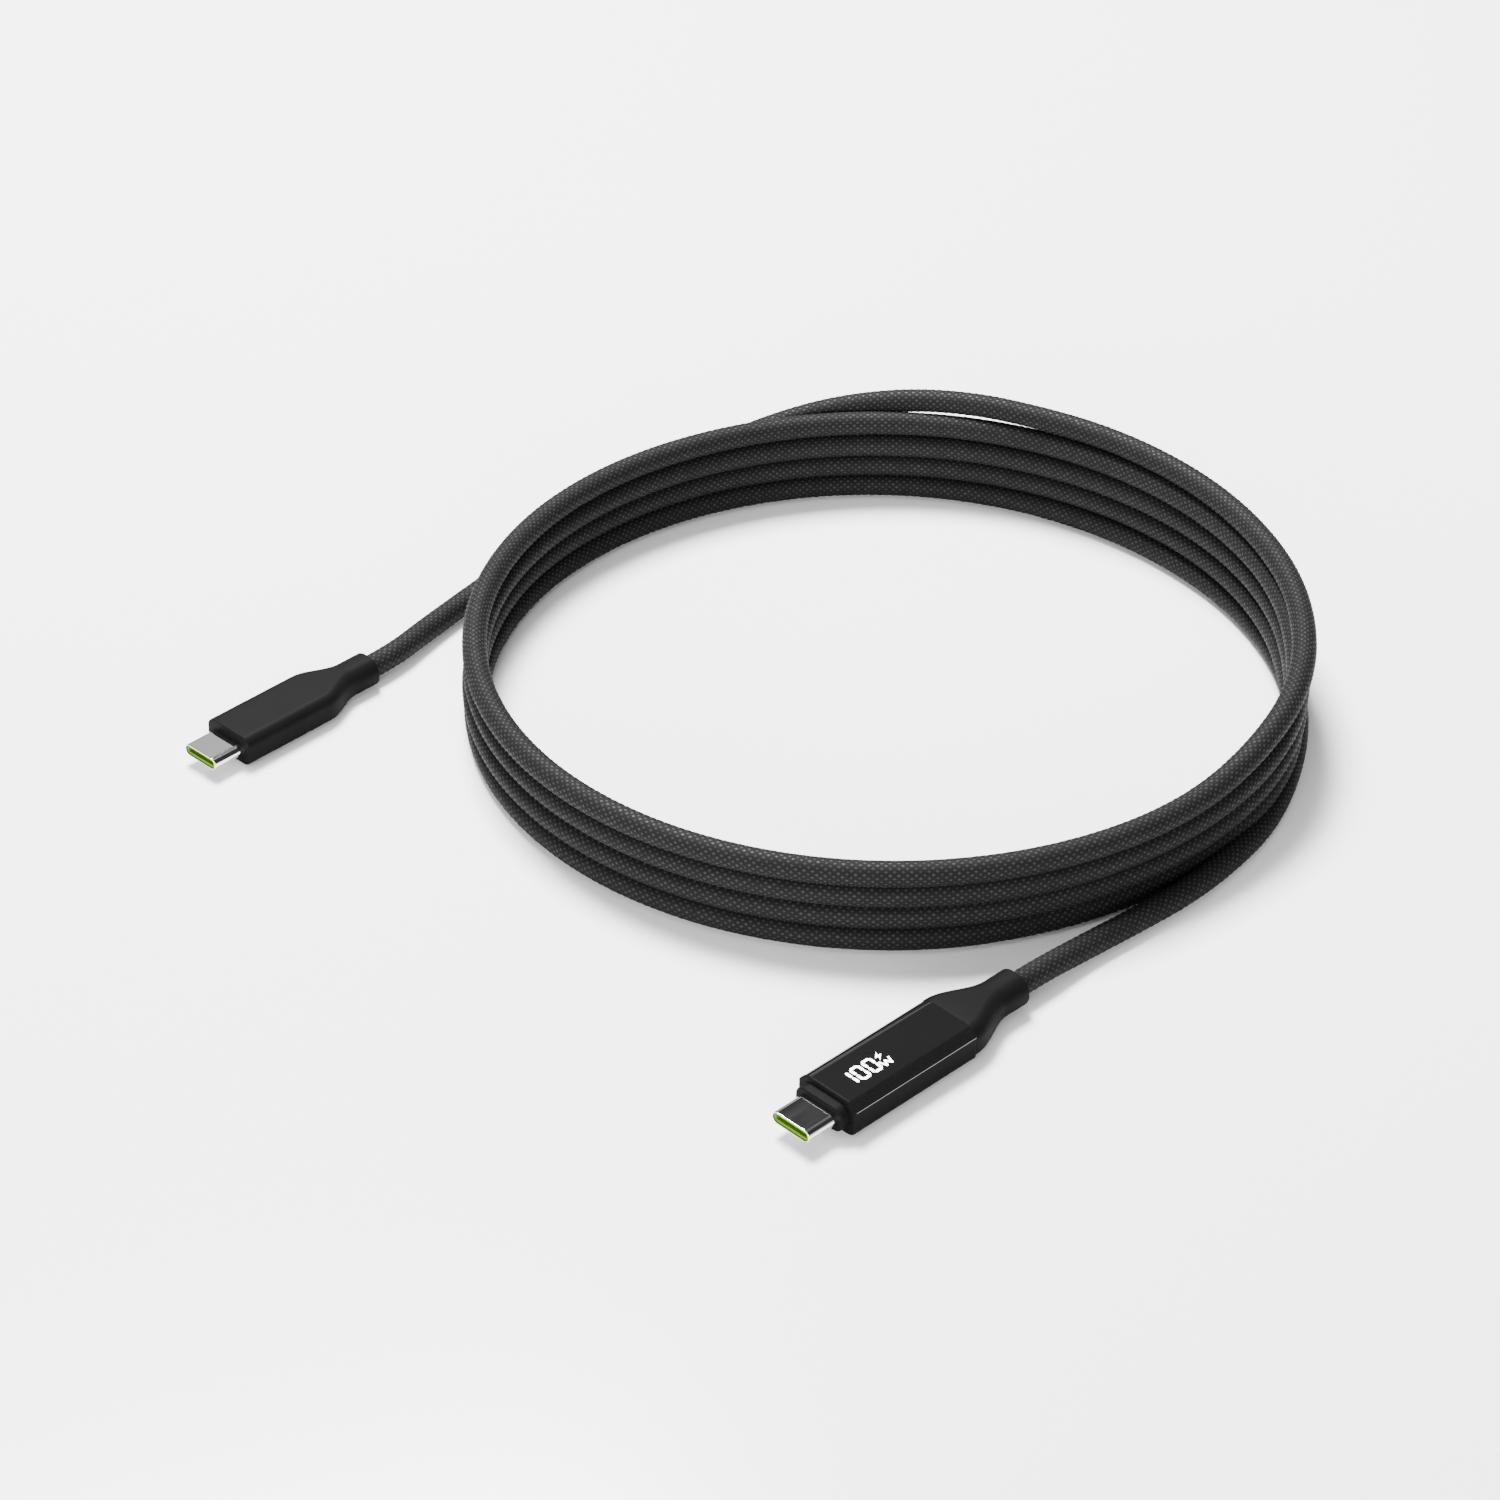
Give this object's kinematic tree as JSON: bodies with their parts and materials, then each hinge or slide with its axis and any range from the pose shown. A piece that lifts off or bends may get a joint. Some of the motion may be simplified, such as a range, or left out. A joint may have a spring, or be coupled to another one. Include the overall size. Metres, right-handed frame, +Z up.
{
  "type": "charging cable",
  "caption": "Braided charging cable wound in a round coil, with a plain plug at one end and a plug with a lit power meter under a glossy window at the other.",
  "frame": {"origin": "on the surface that the cable lies on, under the middle of the box around the two plugs", "axes": "+Z up; both plug mouths point along -Y; +X from the plain plug to the meter plug; the coil lies towards +Y"},
  "size_m": [0.1627, 0.1764, 0.0218],
  "materials": {
    "nickel_steel": "nickel plated, satin polished",
    "green_insulator": "matte moulded",
    "gold_contact": "gold flashed",
    "spring_steel": "rolled",
    "circuit_card": "solder mask",
    "chip_black": "moulded",
    "ceramic": "fired",
    "inner_polymer": "moulded, unseen",
    "cord_braid": "fine two-tone braid",
    "wire_red": "extruded",
    "wire_white": "extruded",
    "soft_grey": "soft matte",
    "gloss_black": "mirror gloss",
    "display_black": "matte",
    "lit_white": "lit from behind"
  },
  "bodies": {
    "root": {"coil": "cord_braid", "meter_boot": "soft_grey", "meter_cable_end": "cord_braid", "meter_capacitors": "ceramic", "meter_card": "circuit_card", "meter_collar": "soft_grey", "meter_control_chip": "chip_black", "meter_display_digits": "lit_white", "meter_display_module": "display_black", "meter_display_pins": "gold_contact", "meter_ferrule": "spring_steel", "meter_ground_springs": "spring_steel", "meter_housing": "soft_grey", "meter_id_chip": "chip_black", "meter_inner_mould": "inner_polymer", "meter_insulator": "green_insulator", "meter_latch_spring": "spring_steel", "meter_lead": "cord_braid", "meter_lower_contacts": "gold_contact", "meter_power_wires": "wire_red", "meter_shell": "nickel_steel", "meter_shunt_resistor": "chip_black", "meter_signal_wires": "wire_white", "meter_upper_contacts": "gold_contact", "meter_window": "gloss_black", "plain_body": "soft_grey", "plain_cable_end": "cord_braid", "plain_capacitors": "ceramic", "plain_card": "circuit_card", "plain_ferrule": "spring_steel", "plain_ground_springs": "spring_steel", "plain_id_chip": "chip_black", "plain_inner_mould": "inner_polymer", "plain_insulator": "green_insulator", "plain_latch_spring": "spring_steel", "plain_lead": "cord_braid", "plain_lower_contacts": "gold_contact", "plain_power_wires": "wire_red", "plain_shell": "nickel_steel", "plain_shield_can": "spring_steel", "plain_signal_wires": "wire_white", "plain_upper_contacts": "gold_contact"}
  },
  "joints": []
}
